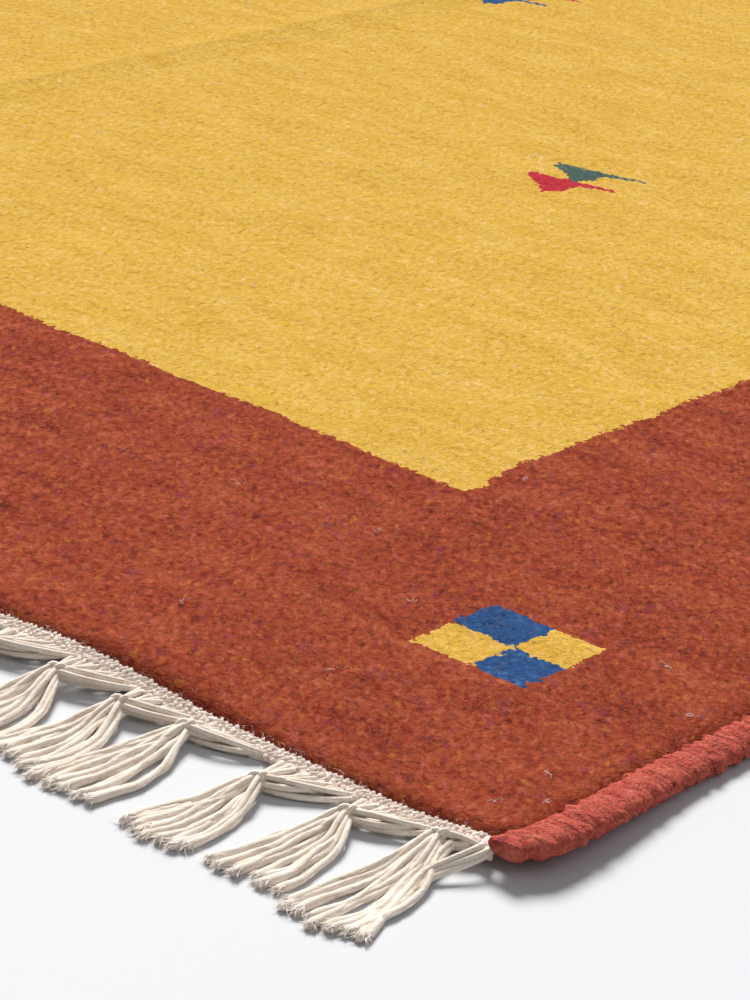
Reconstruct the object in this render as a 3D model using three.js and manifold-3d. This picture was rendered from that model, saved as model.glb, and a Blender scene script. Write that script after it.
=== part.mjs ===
// A flat-woven wool rug lying on the floor, in millimetres, +Z up.
// X runs across the width, Y along the length, and the origin is on the floor under its middle.
// Five pieces: the woven cloth, an overcast binding on each side, and a twined cotton band with
// its knotted tassels at each end. A curled corner, low waves of the ends and a fold ridge stand
// a few millimetres off the floor, and the rest lies flat on it.

import * as THREE from "three";
import { mergeVertices } from "three/addons/utils/BufferGeometryUtils.js";
import Module from "manifold-3d";

const wasm = await Module();
wasm.setup();

// Driving dimensions
const rugWidth = 1400;
const rugLength = 2000;
const clothThickness = 4;
const seam = 0.3;

// Side bindings: a roll of overcast wool round each long edge
const bindingWidth = 15;
const bindingHeight = 7;
const bindingSides = 8;
const bindingEnd = { pastCloth: 4.5, widthShare: 0.84, along: 16 };
const sideWave = { size: 2.2, length: 640 };

// Where a side bows out (or in, below 0): its place along, how far, and how far it reaches along
const sideBows = [
  { side: 1, y: -978, out: 3.8, along: 76 },
  { side: 1, y: -1008, out: -3, along: 20 },
  { side: -1, y: -1004, out: -1.5, along: 44 },
  { side: 1, y: 1004, out: -1, along: 44 },
  { side: -1, y: 1004, out: -1.5, along: 30 },
];

// End bands, and the tassels that are knotted out of them
const bandHalfLength = 682;
const bandThickness = 3.4;
const bandDepth = { betweenKnots: 8, shortOfKnot: 1 };
const tasselCount = 43;
const firstKnot = 31;
const knotReach = { usual: 19, uneven: 2.4 };
const knotSize = { width: 10.4, depth: 10, height: 6.8, topShare: 0.55 };
const liftFadesOver = 34;

// One tassel: a row for each lock, with its places across at the knot, at the bend and at the tip,
// and how far it reaches past the end of the cloth
const locks = [
  { root: -2.9, bend: -6.4, tip: -11.4, reach: 73 },
  { root: 0, bend: 0.2, tip: 0.6, reach: 77 },
  { root: 2.9, bend: 6.5, tip: 11.6, reach: 74 },
];
const bendPastKnot = 15;
const lockSize = { rootWidth: 2.4, bendWidth: 5, tipWidth: 4.4, height: 3, rootAbove: 0.7 };
const reachUneven = 2.6;
const leanUneven = 1.5;

// The first knots from the photographed corner sit unevenly; the rest keep a small wobble
const seenKnots = [
  { shift: 0, lean: 3, reach: 12 },
  { shift: -1, lean: 0, reach: 20 },
  { shift: 1, lean: -1, reach: 25 },
  { shift: 9, lean: -1, reach: 16 },
  { shift: 3, lean: 2, reach: 21 },
  { shift: 1, lean: 3, reach: 21 },
];
const knotUneven = 1.6;

// A lone lock runs from each corner of the band beside the last tassel
const cornerLock = { rootX: 679, bendX: 683, tipX: 691, rootReach: 5, bendReach: 33, reach: 73 };

// Raised places of the cloth: centre, height, and how far each reaches across and along.
// The corner at +X, -Y curls up, and low waves follow it along the end.
const swells = [
  { x: 700, y: -1000, rise: 5.6, across: 62, along: 132 },
  { x: 509, y: -1000, rise: 3.4, across: 64, along: 200 },
  { x: 360, y: -1000, rise: 2.4, across: 80, along: 170 },
  { x: 120, y: -1000, rise: 2.2, across: 110, along: 150 },
  { x: -180, y: -1000, rise: 2.6, across: 110, along: 160 },
  { x: -470, y: -1000, rise: 2.2, across: 110, along: 150 },
  { x: -700, y: -1000, rise: 3, across: 90, along: 180 },
  { x: -560, y: 1000, rise: 2.4, across: 120, along: 160 },
  { x: -150, y: 1000, rise: 2, across: 120, along: 140 },
  { x: 240, y: 1000, rise: 2.4, across: 120, along: 160 },
  { x: 700, y: 1000, rise: 3.2, across: 100, along: 200 },
  { x: 700, y: -330, rise: 1.8, across: 110, along: 180 },
  { x: -700, y: 260, rise: 1.8, across: 110, along: 180 },
];

// The rug was stored folded in half: a low ridge runs down its middle
const crease = { rise: 2.6, across: 15 };

// Grid lines of the cloth: close together at the corner, the crease and the ends
const bodyWidth = rugWidth - 2 * (bindingWidth + seam);
const columnsRight = [0, 7.5, 15, 80, 180, 280, 360, 440, 474, 509, 544, 576, 642];
const columns = [...columnsRight.slice(1).reverse().map((x) => -x), ...columnsRight];
const columnLines = [-bodyWidth / 2, ...columns, bodyWidth / 2];
const rowsFromEnd = [0, 12, 26, 50, 100, 150, 210, 320, 500, 670, 840];
const rowLines = [
  ...rowsFromEnd.map((y) => y - rugLength / 2),
  0,
  ...rowsFromEnd.map((y) => rugLength / 2 - y).reverse(),
];

const bell = (t) => (Math.abs(t) < 1 ? (1 + Math.cos(Math.PI * t)) / 2 : 0);

function lift(x, y) {
  let height = crease.rise * bell(x / crease.across);
  for (const swell of swells) {
    height += swell.rise * bell((x - swell.x) / swell.across) * bell((y - swell.y) / swell.along);
  }
  return height;
}

// How far a side stands out from its straight line
function sideOut(side, y) {
  let out = sideWave.size * Math.sin((2 * Math.PI * y) / sideWave.length);
  for (const bow of sideBows) {
    out += bow.side === side ? bow.out * bell((y - bow.y) / bow.along) : 0;
  }
  return out;
}

const uneven = (index, turn) => Math.sin(index * 2.39 + turn * 1.7);

// The line of a list that a coordinate of a unit box or cylinder stands for
const lineOf = (list, unit) => list[Math.round((unit + 0.5) * (list.length - 1))];

// Moves every vertex of a three.js shape by a function, and merges the doubles
function shaped(geometry, place) {
  geometry.deleteAttribute("normal");
  geometry.deleteAttribute("uv");
  const merged = mergeVertices(geometry, 1e-6);
  const spots = merged.getAttribute("position");
  for (let i = 0; i < spots.count; i += 1) {
    const [x, y, z] = place(spots.getX(i), spots.getY(i), spots.getZ(i));
    spots.setXYZ(i, x, y, z);
  }
  return merged;
}

function clothShape() {
  const unit = new THREE.BoxGeometry(1, 1, 1, columnLines.length - 1, rowLines.length - 1, 1);
  return shaped(unit, (u, v, w) => {
    const flatX = lineOf(columnLines, u);
    const y = lineOf(rowLines, v);
    const side = Math.sign(flatX);
    const x = Math.abs(u) === 0.5 ? flatX + side * sideOut(side, y) : flatX;
    const under = lift(flatX, y);
    return [x, y, w > 0 ? under + clothThickness : under];
  });
}

function bindingShape(side) {
  const halfTurn = Math.PI / bindingSides;
  const unit = new THREE.CylinderGeometry(1, 1, 1, bindingSides, rowLines.length - 1, false, halfTurn);
  const inner = rugWidth / 2 - bindingWidth;
  return shaped(unit, (across, along, up) => {
    const row = lineOf(rowLines, along);
    const atEnd = Math.abs(along) === 0.5 ? Math.sign(along) : 0;
    const y = row + atEnd * bindingEnd.pastCloth;
    const taper = bell((rugLength / 2 + bindingEnd.pastCloth - Math.abs(y)) / bindingEnd.along);
    const width = bindingWidth * (1 - (1 - bindingEnd.widthShare) * taper);
    const outward = (side * across) / Math.cos(halfTurn) + 1;
    const x = side * (inner + sideOut(side, y) + (outward * width) / 2);
    const z = (up / Math.cos(halfTurn) + 1) * (bindingHeight / 2);
    return [x, y, z + lift(side * (inner + bindingWidth / 2), y)];
  });
}

// Height of what hangs past an end of the cloth, which comes down to the floor with its distance
function liftPast(x, end, distance) {
  return lift(x, (end * rugLength) / 2) * Math.max(0, 1 - distance / liftFadesOver);
}

const pastEnd = (end, distance) => end * (rugLength / 2 + distance);

function knotPlaces(end) {
  const pitch = (rugWidth - 2 * firstKnot) / (tasselCount - 1);
  const places = [];
  for (let i = 0; i < tasselCount; i += 1) {
    const seen = end < 0 ? seenKnots[i] : undefined;
    const shift = seen ? seen.shift : knotUneven * uneven(i, end);
    const lean = seen ? seen.lean : leanUneven * uneven(i, end + 3);
    const reach = seen ? seen.reach : knotReach.usual + knotReach.uneven * uneven(i, end + 5);
    places.push({ x: rugWidth / 2 - firstKnot - i * pitch - shift, lean, reach, index: i });
  }
  return places;
}

function bandShape(end, knots) {
  const inward = [...knots].reverse();
  const stations = [{ x: -bandHalfLength, depth: bandDepth.betweenKnots }];
  inward.forEach((knot, i) => {
    stations.push({ x: knot.x, depth: knot.reach - bandDepth.shortOfKnot });
    const next = inward[i + 1];
    stations.push({ x: next ? (knot.x + next.x) / 2 : bandHalfLength, depth: bandDepth.betweenKnots });
  });
  const unit = new THREE.BoxGeometry(1, 1, 1, stations.length - 1, 1, 1);
  return shaped(unit, (u, v, w) => {
    const station = lineOf(stations, u);
    const distance = v * end > 0 ? station.depth : seam;
    const under = liftPast(station.x, end, distance);
    return [station.x, pastEnd(end, distance), w > 0 ? under + bandThickness : under];
  });
}

function knotShape(end, knot) {
  const under = liftPast(knot.x, end, knot.reach);
  return shaped(new THREE.BoxGeometry(1, 1, 1), (u, v, w) => {
    const share = w > 0 ? knotSize.topShare : 1;
    const x = knot.x + u * knotSize.width * share;
    const y = pastEnd(end, knot.reach) + v * knotSize.depth * share;
    return [x, y, under + (w + 0.5) * knotSize.height];
  });
}

// A lock of three sides: one lies flat on the floor from the bend to the tip
function lockShape(end, path) {
  const unit = new THREE.CylinderGeometry(1, 1, 1, 3, path.length - 1, false, 0);
  const lowest = -0.5;
  return shaped(unit, (across, along, up) => {
    const stop = lineOf(path, along * end);
    const widest = Math.sqrt(3) / 2;
    const height = (up - lowest) / (1 - lowest);
    return [
      stop.x + (across / widest) * (stop.width / 2),
      pastEnd(end, stop.distance),
      stop.under + height * lockSize.height,
    ];
  });
}

function lockPath(end, root, bend, tip) {
  const rootUnder = liftPast(root.x, end, root.distance) + lockSize.rootAbove;
  return [
    { x: root.x, distance: root.distance, under: rootUnder, width: lockSize.rootWidth },
    { x: bend.x, distance: bend.distance, under: 0, width: lockSize.bendWidth },
    { x: tip.x, distance: tip.distance, under: 0, width: lockSize.tipWidth },
  ];
}

function tasselLocks(end, knot) {
  return locks.map((lock, k) => {
    const root = { x: knot.x + lock.root, distance: knot.reach };
    const bend = { x: knot.x + lock.bend + knot.lean / 2, distance: knot.reach + bendPastKnot };
    const reach = lock.reach + reachUneven * uneven(knot.index, k);
    const tip = { x: knot.x + lock.tip + knot.lean, distance: reach };
    return lockShape(end, lockPath(end, root, bend, tip));
  });
}

function cornerLockShape(end, side) {
  const root = { x: side * cornerLock.rootX, distance: cornerLock.rootReach };
  const bend = { x: side * cornerLock.bendX, distance: cornerLock.bendReach };
  const tip = { x: side * cornerLock.tipX, distance: cornerLock.reach };
  return lockShape(end, lockPath(end, root, bend, tip));
}

function toSolid(geometry) {
  const mesh = new wasm.Mesh({
    numProp: 3,
    vertProperties: new Float32Array(geometry.getAttribute("position").array),
    triVerts: new Uint32Array(geometry.getIndex().array),
  });
  return new wasm.Manifold(mesh);
}

function fused(shapes) {
  const solid = shapes.map(toSolid).reduce((whole, next) => whole.add(next));
  const mesh = solid.getMesh();
  const geometry = new THREE.BufferGeometry();
  geometry.setAttribute("position", new THREE.BufferAttribute(mesh.vertProperties, mesh.numProp));
  geometry.setIndex(new THREE.BufferAttribute(mesh.triVerts, 1));
  return geometry;
}

function fringeShape(end) {
  const knots = knotPlaces(end);
  const shapes = [bandShape(end, knots)];
  for (const knot of knots) {
    shapes.push(knotShape(end, knot), ...tasselLocks(end, knot));
  }
  shapes.push(cornerLockShape(end, -1), cornerLockShape(end, 1));
  return fused(shapes);
}

const rug = new THREE.Group();

function addPiece(name, geometry, color, roughness) {
  geometry.computeVertexNormals();
  const material = new THREE.MeshStandardMaterial({ color, roughness, metalness: 0, flatShading: true });
  const piece = new THREE.Mesh(geometry, material);
  piece.name = name;
  rug.add(piece);
}

addPiece("woven_cloth", clothShape(), 0xa34d37, 0.92);
addPiece("binding_right", bindingShape(1), 0xa34f42, 0.95);
addPiece("binding_left", bindingShape(-1), 0xa34f42, 0.95);
addPiece("fringe_near", fringeShape(-1), 0xe2d5cb, 0.9);
addPiece("fringe_far", fringeShape(1), 0xe2d5cb, 0.9);

export default rug;
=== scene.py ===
# A flat-woven wool rug with a bordered field, side bindings and knotted cotton fringes, in metres.
import math

import bmesh
import bpy
import numpy as np
from mathutils import Matrix, Vector


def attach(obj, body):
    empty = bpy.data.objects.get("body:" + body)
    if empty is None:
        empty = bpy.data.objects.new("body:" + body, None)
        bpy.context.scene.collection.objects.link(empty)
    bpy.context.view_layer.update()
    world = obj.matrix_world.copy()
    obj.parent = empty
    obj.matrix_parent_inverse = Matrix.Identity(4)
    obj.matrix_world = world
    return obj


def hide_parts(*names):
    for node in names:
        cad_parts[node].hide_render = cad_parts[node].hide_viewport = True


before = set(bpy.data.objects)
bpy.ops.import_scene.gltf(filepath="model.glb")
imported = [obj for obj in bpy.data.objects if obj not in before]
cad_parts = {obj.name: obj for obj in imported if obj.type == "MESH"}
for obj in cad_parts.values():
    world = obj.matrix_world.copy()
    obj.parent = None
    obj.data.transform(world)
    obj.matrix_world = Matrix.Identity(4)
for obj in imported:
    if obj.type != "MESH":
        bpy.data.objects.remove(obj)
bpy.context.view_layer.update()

MM = 0.001
ABOVE_FLOOR = 0.0001
UP = np.array((0.0, 0.0, 1.0))

# Sizes of the rug, as in the frame
RUG_WIDTH = 1.4
RUG_LENGTH = 2.0
CLOTH_THICKNESS = 0.0032
CLOTH_TOP = 0.004
SEAM = 0.0003
BINDING_WIDTH = 0.015
BINDING_HEIGHT = 0.007
BINDING_PAST_CLOTH = 0.0072
BINDING_END_SHARE = 0.84
BINDING_END_ALONG = 0.016
BINDING_CAP = 0.0028
WRAP_PITCH = 0.0029
WRAP_SLANT = 0.0022
WRAPS = 1700
MIDDLE_WRAP = 800
SIDE_WAVE = 0.0022
SIDE_WAVE_LENGTH = 0.64
HALF_CLOTH = RUG_WIDTH / 2 - BINDING_WIDTH - SEAM

# Where a side bows out, or in below 0: side, place along, how far, and its reach along, in mm
SIDE_BOWS = (
    (1, -978, 3.8, 76),
    (1, -1008, -3.0, 20),
    (-1, -1004, -1.5, 44),
    (1, 1004, -1.0, 44),
    (-1, 1004, -1.5, 30),
)

# Raised places of the cloth: centre, height, and how far each reaches across and along, in mm
SWELLS = (
    (700, -1000, 5.6, 62, 132),
    (509, -1000, 3.4, 64, 200),
    (360, -1000, 2.4, 80, 170),
    (120, -1000, 2.2, 110, 150),
    (-180, -1000, 2.6, 110, 160),
    (-470, -1000, 2.2, 110, 150),
    (-700, -1000, 3.0, 90, 180),
    (-560, 1000, 2.4, 120, 160),
    (-150, 1000, 2.0, 120, 140),
    (240, 1000, 2.4, 120, 160),
    (700, 1000, 3.2, 100, 200),
    (700, -330, 1.8, 110, 180),
    (-700, 260, 1.8, 110, 180),
)
CREASE_RISE = 0.0026
CREASE_REACH = 0.015

# The woven design
SIDE_BORDER = 0.2109
END_BORDER = 0.2276
FIELD_FOOT_ALONG = 0.014
FIELD_FOOT_OUT = 0.005
CHECKER_BLOCK = 0.0252
CHECKER_FROM_SIDE = 0.1077
CHECKER_FROM_END = 0.1261
CHECKER_MIDDLE_OUT = 0.0024
FIBRE_LEAN = math.radians(37)
BEAD_PITCH = 0.0021

# A bird, charted from its breast up: the left and right end of each row, in mm
BIRD_ROW = 0.0026
BIRD = ((5, 7), (2, 8), (-1, 10), (-4, 11), (-8, 12), (-13, 12), (-17, 11), (-17, 11), (-18, 12),
        (-4, 14), (2, 18), (13, 24), (22, 30))
# The birds on the near half: centre of each breast, and the steps from the first to the others
FIELD_PAIR = (0.2629, -0.4234)
FIELD_STEP = (-0.001, 0.026)
MIDDLE_BIRD = (0.014, -0.1515)
MIDDLE_STEPS = ((0.006, 0.027), (-0.011, -0.004))

# The end fringes: the twined band, which has finer stitches from SEEN_FROM to the lifted corner
BAND_HALF = 0.682
BAND_DEPTH = 0.0078
BAND_TOP = 0.0033
BAND_DROOP = 0.0006
BAND_WALL = 0.0026
CORNER_FLARE = 0.0055
SEEN_FROM = 0.42
LIFT_FADES_OVER = 0.034

# Knots and tassels: reaches past the cloth, shifts and leans are in mm, for the first six as seen
TASSELS = 43
FIRST_KNOT = 0.031
KNOT_MIDDLE = 0.0043
KNOT_REACH = 19
KNOT_REACH_UNEVEN = 2.4
SEEN_SHIFTS = (0, -1, 1, 9, 3, 1)
SEEN_LEANS = (3, 0, -1, -1, 2, 3)
SEEN_REACHES = (12, 20, 25, 16, 21, 21)

# The cords of a tassel
CORDS = 12
CORD_RADIUS = 0.00104
CORD_TWIST = 0.0060
CORD_LOBES = 0.03
SWAG_PITCH = 0.00085
KNOT_PITCH = 0.00062
TIP_SPREAD = 0.0138
TASSEL_REACH = 0.0755
FINE_CORDS = {"stops": 40, "sides": 8, "frays": 34, "combs": 24}
PLAIN_CORDS = {"stops": 10, "sides": 5, "frays": 5, "combs": 2}

# Camera: it stands off the lifted corner and looks along the rug
CAMERA_PLACE = Vector((1.2366, -1.8198, 0.5246))
CAMERA_YAW = math.radians(36.941)
CAMERA_PITCH = math.radians(22.373)
CAMERA_ROLL = math.radians(6.579)
CAMERA_LENS = 126


def add_camera():
    data = bpy.data.cameras.new("camera")
    data.lens = CAMERA_LENS
    data.sensor_width = 36
    camera = bpy.data.objects.new("camera", data)
    bpy.context.collection.objects.link(camera)
    ahead = Vector((-math.sin(CAMERA_YAW), math.cos(CAMERA_YAW), 0)) * math.cos(CAMERA_PITCH)
    ahead.z = -math.sin(CAMERA_PITCH)
    level = Vector((math.cos(CAMERA_YAW), math.sin(CAMERA_YAW), 0))
    over = level.cross(ahead)
    right = math.cos(CAMERA_ROLL) * level + math.sin(CAMERA_ROLL) * over
    up = math.cos(CAMERA_ROLL) * over - math.sin(CAMERA_ROLL) * level
    turn = Matrix((right, up, -ahead)).transposed().to_4x4()
    camera.matrix_world = Matrix.Translation(CAMERA_PLACE) @ turn
    bpy.context.scene.camera = camera


def add_lamp(name, kind, place, aim, power, colour):
    data = bpy.data.lights.new(name, kind)
    data.energy = power
    data.color = colour
    lamp = bpy.data.objects.new(name, data)
    bpy.context.collection.objects.link(lamp)
    way = Vector(aim) - Vector(place)
    lamp.matrix_world = Matrix.Translation(place) @ way.to_track_quat("-Z", "Y").to_matrix().to_4x4()
    return data


def add_studio():
    scene = bpy.context.scene
    scene.view_settings.view_transform = "Standard"
    world = bpy.data.worlds.new("studio")
    world.use_nodes = True
    world.node_tree.nodes["Background"].inputs["Color"].default_value = (0.97, 0.985, 1.0, 1)
    world.node_tree.nodes["Background"].inputs["Strength"].default_value = 0.22
    scene.world = world
    sun = add_lamp("sun", "SUN", (-2.6, 2.2, 3.6), (0.4, -0.7, 0), 5.35, (1.0, 0.98, 0.95))
    sun.angle = math.radians(22)
    fill = add_lamp("fill", "AREA", (2.4, -1.4, 2.2), (0.5, -0.8, 0), 9, (0.96, 0.98, 1.0))
    fill.size = 2.0


# Measures that every piece shares
def bell(t):
    return np.where(np.abs(t) < 1, (1 + np.cos(np.pi * np.clip(t, -1, 1))) / 2, 0)


def lift(x, y):
    height = CREASE_RISE * bell(x / CREASE_REACH)
    for swell_x, swell_y, rise, across, along in SWELLS:
        height = height + rise * MM * bell((x / MM - swell_x) / across) * bell((y / MM - swell_y) / along)
    return height


def side_out(side, y):
    """How far a side stands out from its straight line."""
    out = SIDE_WAVE * np.sin(2 * np.pi * y / SIDE_WAVE_LENGTH)
    for bow_side, bow_y, bow_out, along in SIDE_BOWS:
        if bow_side == side:
            out = out + bow_out * MM * bell((y / MM - bow_y) / along)
    return out


def binding_line(side, y):
    """Middle, half width and underside of a side binding."""
    taper = bell((RUG_LENGTH / 2 + BINDING_PAST_CLOTH - np.abs(y)) / BINDING_END_ALONG)
    half = BINDING_WIDTH / 2 * (1 - (1 - BINDING_END_SHARE) * taper)
    middle = side * (RUG_WIDTH / 2 - BINDING_WIDTH + side_out(side, y) + half)
    under = lift(np.full_like(y, side * (RUG_WIDTH - BINDING_WIDTH) / 2), y)
    return middle, half, under


def lift_past(x, end, distance):
    return lift(x, end * RUG_LENGTH / 2) * np.clip(1 - distance / LIFT_FADES_OVER, 0, 1)


def smooth(t):
    t = np.clip(t, 0, 1)
    return t * t * (3 - 2 * t)


def uneven(index, turn):
    return np.sin(index * 2.39 + turn * 1.7)


def at_end(name, end):
    return name + ("_near" if end < 0 else "_far")


def at_side(name, side):
    return name + ("_right" if side > 0 else "_left")


# Shapes and meshes
def tube_shape(sides, steps):
    """A closed tube of radius 1 along z from 0 to 1, with its length in the UV map."""
    shape = bmesh.new()
    shape.loops.layers.uv.new("along")
    bmesh.ops.create_grid(shape, x_segments=sides, y_segments=steps, size=0.5, calc_uvs=True)
    for vert in shape.verts:
        turn = 2 * math.pi * vert.co.x
        vert.co = (math.cos(turn), math.sin(turn), vert.co.y + 0.5)
    bmesh.ops.remove_doubles(shape, verts=shape.verts, dist=1e-4)
    rims = [edge for edge in shape.edges if edge.is_boundary]
    bmesh.ops.holes_fill(shape, edges=rims, sides=sides)
    bmesh.ops.recalc_face_normals(shape, faces=shape.faces)
    return shape


def ring_shape(sides, steps):
    """A closed ring round z, wound from a grid: radius 1, and 0.3 for its tube."""
    shape = bmesh.new()
    bmesh.ops.create_grid(shape, x_segments=sides, y_segments=steps, size=0.5)
    for vert in shape.verts:
        turn = 2 * math.pi * vert.co.x
        way = 2 * math.pi * vert.co.y
        reach = 1 + 0.3 * math.cos(turn)
        vert.co = (reach * math.cos(way), reach * math.sin(way), 0.3 * math.sin(turn))
    bmesh.ops.remove_doubles(shape, verts=shape.verts, dist=1e-4)
    bmesh.ops.recalc_face_normals(shape, faces=shape.faces)
    return shape


def strip_shape(steps):
    """A flat strip along y, one face wide."""
    shape = bmesh.new()
    bmesh.ops.create_grid(shape, x_segments=1, y_segments=steps, size=0.5)
    return shape


def points_of(mesh):
    flat = np.empty(len(mesh.vertices) * 3)
    mesh.vertices.foreach_get("co", flat)
    return flat.reshape(-1, 3)


def put_points(mesh, points):
    """Moves a mesh's points to their places, none of them below the floor."""
    points = np.array(points, dtype=np.float32).reshape(-1, 3)
    points[:, 2] = np.maximum(points[:, 2], ABOVE_FLOOR)
    mesh.vertices.foreach_set("co", points.ravel())
    mesh.update()


def new_piece(name, shape):
    mesh = bpy.data.meshes.new(name)
    shape.to_mesh(mesh)
    shape.free()
    piece = bpy.data.objects.new(name, mesh)
    bpy.context.collection.objects.link(piece)
    return piece


def copies(name, shape, count):
    """Joins count copies of a shape in one mesh, and gives the piece and the shape's own points."""
    piece = new_piece(name, shape)
    unit = points_of(piece.data)
    array = piece.modifiers.new("copies", "ARRAY")
    array.count = count
    array.use_relative_offset = False
    graph = bpy.context.evaluated_depsgraph_get()
    whole = bpy.data.meshes.new_from_object(piece.evaluated_get(graph))
    piece.modifiers.clear()
    piece.data = whole
    return piece, unit


def face_outwards(piece):
    shape = bmesh.new()
    shape.from_mesh(piece.data)
    bmesh.ops.recalc_face_normals(shape, faces=shape.faces)
    shape.to_mesh(piece.data)
    shape.free()


def finish_piece(piece, material, node=None):
    piece.data.polygons.foreach_set("use_smooth", [True] * len(piece.data.polygons))
    piece.data.materials.clear()
    piece.data.materials.append(material)
    if node:
        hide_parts(node)
    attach(piece, "root")
    return piece


def unit_length(vectors):
    return vectors / np.maximum(np.linalg.norm(vectors, axis=-1, keepdims=True), 1e-12)


def cords_along(name, paths, radius, sides, twist=0.0, phase=0.0):
    """Cords along many paths of shape (cords, stops, 3), with a radius for each stop."""
    count, stops = paths.shape[:2]
    piece, unit = copies(name, tube_shape(sides, stops - 1), count)
    stop = np.rint(unit[:, 2] * (stops - 1)).astype(int)
    turn = np.arctan2(unit[:, 1], unit[:, 0])
    ahead = unit_length(np.gradient(paths, axis=1))
    level = unit_length(np.cross(ahead, UP))
    over = np.cross(level, ahead)
    girth = np.broadcast_to(radius, (count, stops))[:, stop]
    if twist:
        steps = np.linalg.norm(np.diff(paths, axis=1), axis=-1)
        run = np.concatenate([np.zeros((count, 1)), np.cumsum(steps, axis=1)], axis=1)
        wound = 2 * np.pi * run / twist + np.reshape(phase, (-1, 1))
        girth = girth * (1 + CORD_LOBES * np.cos(2 * (turn[None, :] - wound[:, stop] / 2)))
    across = np.cos(turn)[None, :, None] * level[:, stop]
    upward = np.sin(turn)[None, :, None] * over[:, stop]
    put_points(piece.data, paths[:, stop] + girth[..., None] * (across + upward))
    face_outwards(piece)
    return piece


def curled(x, y, way, curl, length):
    """Routes of four points that start at x and y on their way and bend by their curl."""
    share = np.linspace(0, 1, 4)
    bend = way[:, None] + curl[:, None] * share
    step = length[:, None] / 3
    return (x[:, None] + np.cumsum(np.cos(bend) * step, axis=1),
            y[:, None] + np.cumsum(np.sin(bend) * step, axis=1), share)


def ribbons_along(name, paths, width, side):
    """Thin flat fibres along many paths, each as wide as given across its side vector."""
    count, stops = paths.shape[:2]
    piece, unit = copies(name, strip_shape(stops - 1), count)
    stop = np.rint((unit[:, 1] + 0.5) * (stops - 1)).astype(int)
    edge = np.sign(unit[:, 0])[None, :, None] * side[:, None, :] * width[:, None, None] / 2
    taper = np.interp(stop / (stops - 1), (0, 0.6, 1), (1, 0.8, 0.15))[None, :, None]
    put_points(piece.data, paths[:, stop] + edge * taper)
    return piece


# Node trees
class Value:
    """What one node gives to others. Sums, products and comparisons of values are math nodes."""

    def __init__(self, tree, socket):
        self.tree = tree
        self.socket = socket

    def math(self, operation, *others):
        return output(fed_node("ShaderNodeMath", (self, *others), operation=operation))

    def __add__(self, other):
        return self.math("ADD", other)

    def __sub__(self, other):
        return self.math("SUBTRACT", other)

    def __rsub__(self, other):
        return output(fed_node("ShaderNodeMath", (other, self), operation="SUBTRACT"))

    def __mul__(self, other):
        return self.math("MULTIPLY", other)

    def __truediv__(self, other):
        return self.math("DIVIDE", other)

    def __lt__(self, other):
        return self.math("LESS_THAN", other)

    def __gt__(self, other):
        return self.math("GREATER_THAN", other)


def new_node(tree, kind, **settings):
    made = tree.nodes.new(kind)
    for key, value in settings.items():
        setattr(made, key, value)
    return made


def feed(socket, value):
    if isinstance(value, Value):
        value.tree.links.new(value.socket, socket)
    elif isinstance(value, (tuple, list)) and len(value) == 3 and socket.type == "RGBA":
        socket.default_value = (*value, 1)
    else:
        socket.default_value = value


def fed_node(kind, fed, **settings):
    """A node whose inputs, in order or by name, are fed with values or plain numbers."""
    fed = fed if isinstance(fed, dict) else dict(enumerate(fed))
    tree = next(value.tree for value in fed.values() if isinstance(value, Value))
    made = new_node(tree, kind, **settings)
    for label, value in fed.items():
        feed(made.inputs[label], value)
    return made


def output(made, label=0):
    return Value(made.id_data, made.outputs[label])


def vector_math(operation, first, second):
    return output(fed_node("ShaderNodeVectorMath", (first, second), operation=operation))


def scaled(place, sizes):
    return vector_math("MULTIPLY", place, sizes)


def pushed(place, amount, size):
    """Moves a place sideways by a noise colour, as far as size in all."""
    off = vector_math("SUBTRACT", amount, (0.5, 0.5, 0.5))
    return vector_math("ADD", place, scaled(off, (size, size, 0)))


def leaned(place):
    """Turns a place so that its second axis follows the lean of the spun fibres."""
    fed = {"Vector": place, "Angle": -FIBRE_LEAN}
    return output(fed_node("ShaderNodeVectorRotate", fed, rotation_type="Z_AXIS"))


def noise(place, scale, detail=2.0, rough=0.5, given="Fac"):
    fed = {"Vector": place, "Scale": scale, "Detail": detail, "Roughness": rough}
    return output(fed_node("ShaderNodeTexNoise", fed), given)


def split(place):
    made = fed_node("ShaderNodeSeparateXYZ", (place,))
    return [output(made, axis) for axis in range(3)]


def split_colour(colour):
    made = fed_node("ShaderNodeSeparateColor", (colour,))
    return [output(made, channel) for channel in range(3)]


def joined(x, y, z=0.0):
    return output(fed_node("ShaderNodeCombineXYZ", (x, y, z)))


def spread(value, low, high, to_low=0.0, to_high=1.0):
    return output(fed_node("ShaderNodeMapRange", (value, low, high, to_low, to_high)))


def blend(share, first, second):
    fed = {0: share, 6: first, 7: second}
    return output(fed_node("ShaderNodeMix", fed, data_type="RGBA"), 2)


def ramp(value, stops):
    made = fed_node("ShaderNodeValToRGB", (value,))
    band = made.color_ramp
    while len(band.elements) < len(stops):
        band.elements.new(1.0)
    for element, (at, colour) in zip(band.elements, stops):
        element.position = at
        element.color = (*colour, 1)
    return output(made)


def inside(value, low, high):
    return (value > low) * (value < high)


def either(first, second):
    return first.math("MAXIMUM", second)


def new_group(name, place_name, outputs):
    """A node group that takes one place and gives the outputs, floats unless a type is named."""
    tree = bpy.data.node_groups.new(name, "ShaderNodeTree")
    tree.interface.new_socket(place_name, in_out="INPUT", socket_type="NodeSocketVector")
    for label, kind in outputs.items():
        tree.interface.new_socket(label, in_out="OUTPUT", socket_type="NodeSocket" + kind)
    place = output(tree.nodes.new("NodeGroupInput"), place_name)
    return tree, place, tree.nodes.new("NodeGroupOutput").inputs


def group_at(group, place):
    """What a group gives at a place, by name."""
    made = new_node(place.tree, "ShaderNodeGroup", node_tree=group)
    feed(made.inputs[0], place)
    return {given.name: Value(place.tree, given) for given in made.outputs}


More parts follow.
